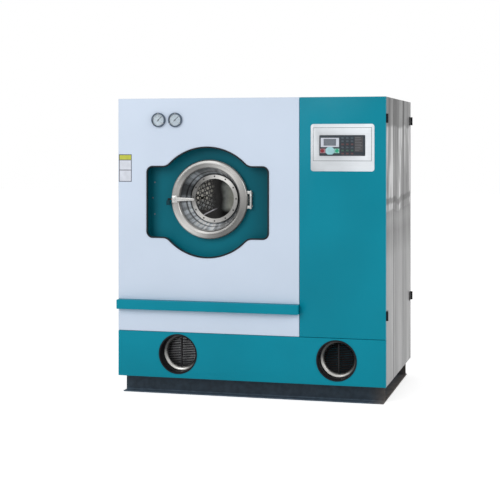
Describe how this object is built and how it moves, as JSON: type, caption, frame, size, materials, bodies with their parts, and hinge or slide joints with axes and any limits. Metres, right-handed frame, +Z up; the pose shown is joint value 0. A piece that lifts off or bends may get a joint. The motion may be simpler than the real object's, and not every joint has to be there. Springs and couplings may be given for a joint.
{
  "type": "dry cleaning machine",
  "caption": "Front-loading dry cleaning machine: recessed round glass door, teal and white sheet cabinet, side control door, vents and channel base.",
  "frame": {"origin": "on the floor, at the middle of the base frame's cross member, under the middle of the cabinet", "axes": "+X to the machine's right as seen from the front, +Y to the rear, +Z up"},
  "size_m": [1.591, 1.08, 1.72],
  "materials": {
    "painted_white": "semi-gloss",
    "painted_teal": "semi-gloss",
    "painted_dark": "satin",
    "stainless_sheet": "fine brushed",
    "polished_steel": "polished",
    "plain_steel": "plain",
    "cast_iron": "painted casting",
    "black_rubber": "matt",
    "black_plastic": "fine texture",
    "keypad_film": "satin film",
    "clear_glass": "clear",
    "display": "glossy",
    "red_plastic": "glossy",
    "green_plastic": "glossy",
    "pale_plastic": "glossy",
    "black_paint": "satin"
  },
  "bodies": {
    "cabinet": {"base_frame": "painted_dark", "cabinet_frame": "painted_dark", "floor_pan": "plain_steel", "front_panel": "painted_white", "front_rail": "painted_teal", "front_lower_panel": "painted_white", "kick_panel": "painted_teal", "right_side_panel_front": "stainless_sheet", "right_side_panel_middle": "stainless_sheet", "right_side_panel_rear": "stainless_sheet", "left_side_panel": "stainless_sheet", "top_panel": "stainless_sheet", "rear_panel": "stainless_sheet", "recess_pan": "painted_teal", "recess_trim": "black_rubber", "fixing_screws": "plain_steel", "vent_ducts": "black_plastic", "vent_bells": "plain_steel", "vent_grilles": "black_plastic", "gauge_cases": "black_plastic", "gauge_glasses": "clear_glass", "door_gasket": "black_rubber", "door_hinge_bracket": "polished_steel", "latch_keeper": "plain_steel", "tub": "plain_steel", "bearing_housing": "cast_iron", "bearings": "plain_steel", "drive_motor": "painted_teal", "drive_belt": "black_rubber", "solvent_tank": "plain_steel", "solvent_pump": "painted_teal", "filter_housing": "plain_steel", "button_trap": "plain_steel", "blower_housing": "painted_teal", "service_hinges": "black_paint"},
    "drum_door": {"door_ring": "polished_steel", "window_ring": "polished_steel", "window_seal": "black_rubber", "window_glass": "clear_glass", "window_screws": "plain_steel", "door_hinge_arms": "polished_steel", "latch_bracket": "polished_steel"},
    "latch": {"latch_lever": "polished_steel"},
    "drum_assembly": {"drum": "plain_steel", "drum_lifters": "plain_steel", "drum_shaft": "plain_steel", "drum_pulley": "cast_iron"},
    "motor_rotor": {"motor_pulley": "cast_iron"},
    "blower_rotor": {"blower_impeller": "plain_steel"},
    "needle_left": {"gauge_needle_left": "black_paint"},
    "needle_right": {"gauge_needle_right": "black_paint"},
    "front_service_door": {"service_door": "painted_teal", "control_plate": "stainless_sheet", "keypad": "keypad_film", "controller_box": "black_plastic", "display_window": "display"},
    "rear_service_door": {"rear_door": "stainless_sheet"},
    "stop_key": {"stop_button": "red_plastic"},
    "start_key": {"start_button": "green_plastic"},
    "nav_key": {"nav_button": "pale_plastic"}
  },
  "joints": [
    {"name": "drum_door_hinge", "type": "hinge", "parent": "cabinet", "child": "drum_door", "pos_m": [0.003, -0.48, 1.135], "axis": [0, 0, 1], "range_deg": [0, 120]},
    {"name": "latch_turn", "type": "hinge", "parent": "drum_door", "child": "latch", "pos_m": [-0.448, -0.5025, 1.135], "axis": [0, 1, 0], "range_deg": [-30, 20]},
    {"name": "drum_spin", "type": "hinge", "parent": "cabinet", "child": "drum_assembly", "pos_m": [-0.243, 0, 1.135], "axis": [0, 1, 0], "continuous": true},
    {"name": "motor_spin", "type": "hinge", "parent": "cabinet", "child": "motor_rotor", "pos_m": [-0.556, 0, 0.52], "axis": [0, 1, 0], "continuous": true},
    {"name": "blower_spin", "type": "hinge", "parent": "cabinet", "child": "blower_rotor", "pos_m": [0.54, 0, 1.35], "axis": [0, 1, 0], "continuous": true},
    {"name": "gauge_left_swing", "type": "hinge", "parent": "cabinet", "child": "needle_left", "pos_m": [-0.54, -0.528, 1.595], "axis": [0, 1, 0], "range_deg": [-180, 90]},
    {"name": "gauge_right_swing", "type": "hinge", "parent": "cabinet", "child": "needle_right", "pos_m": [-0.438, -0.528, 1.595], "axis": [0, 1, 0], "range_deg": [-180, 90]},
    {"name": "service_door_hinge", "type": "hinge", "parent": "cabinet", "child": "front_service_door", "pos_m": [0.796, -0.515, 1.599], "axis": [0, 0, 1], "range_deg": [0, 120]},
    {"name": "rear_door_hinge", "type": "hinge", "parent": "cabinet", "child": "rear_service_door", "pos_m": [0.796, 0.515, 1.599], "axis": [0, 0, -1], "range_deg": [0, 120]},
    {"name": "stop_press", "type": "slide", "parent": "front_service_door", "child": "stop_key", "axis": [0, 1, 0], "range_m": [0, 0.0012], "stiffness_N_per_m": 800, "springref_m": -0.0005},
    {"name": "start_press", "type": "slide", "parent": "front_service_door", "child": "start_key", "axis": [0, 1, 0], "range_m": [0, 0.0012], "stiffness_N_per_m": 800, "springref_m": -0.0005},
    {"name": "nav_press", "type": "slide", "parent": "front_service_door", "child": "nav_key", "axis": [0, 1, 0], "range_m": [0, 0.0012], "stiffness_N_per_m": 800, "springref_m": -0.0005}
  ],
  "couplings": [
    {"joint": "motor_spin", "follows": "drum_spin", "ratio": 5.5}
  ]
}
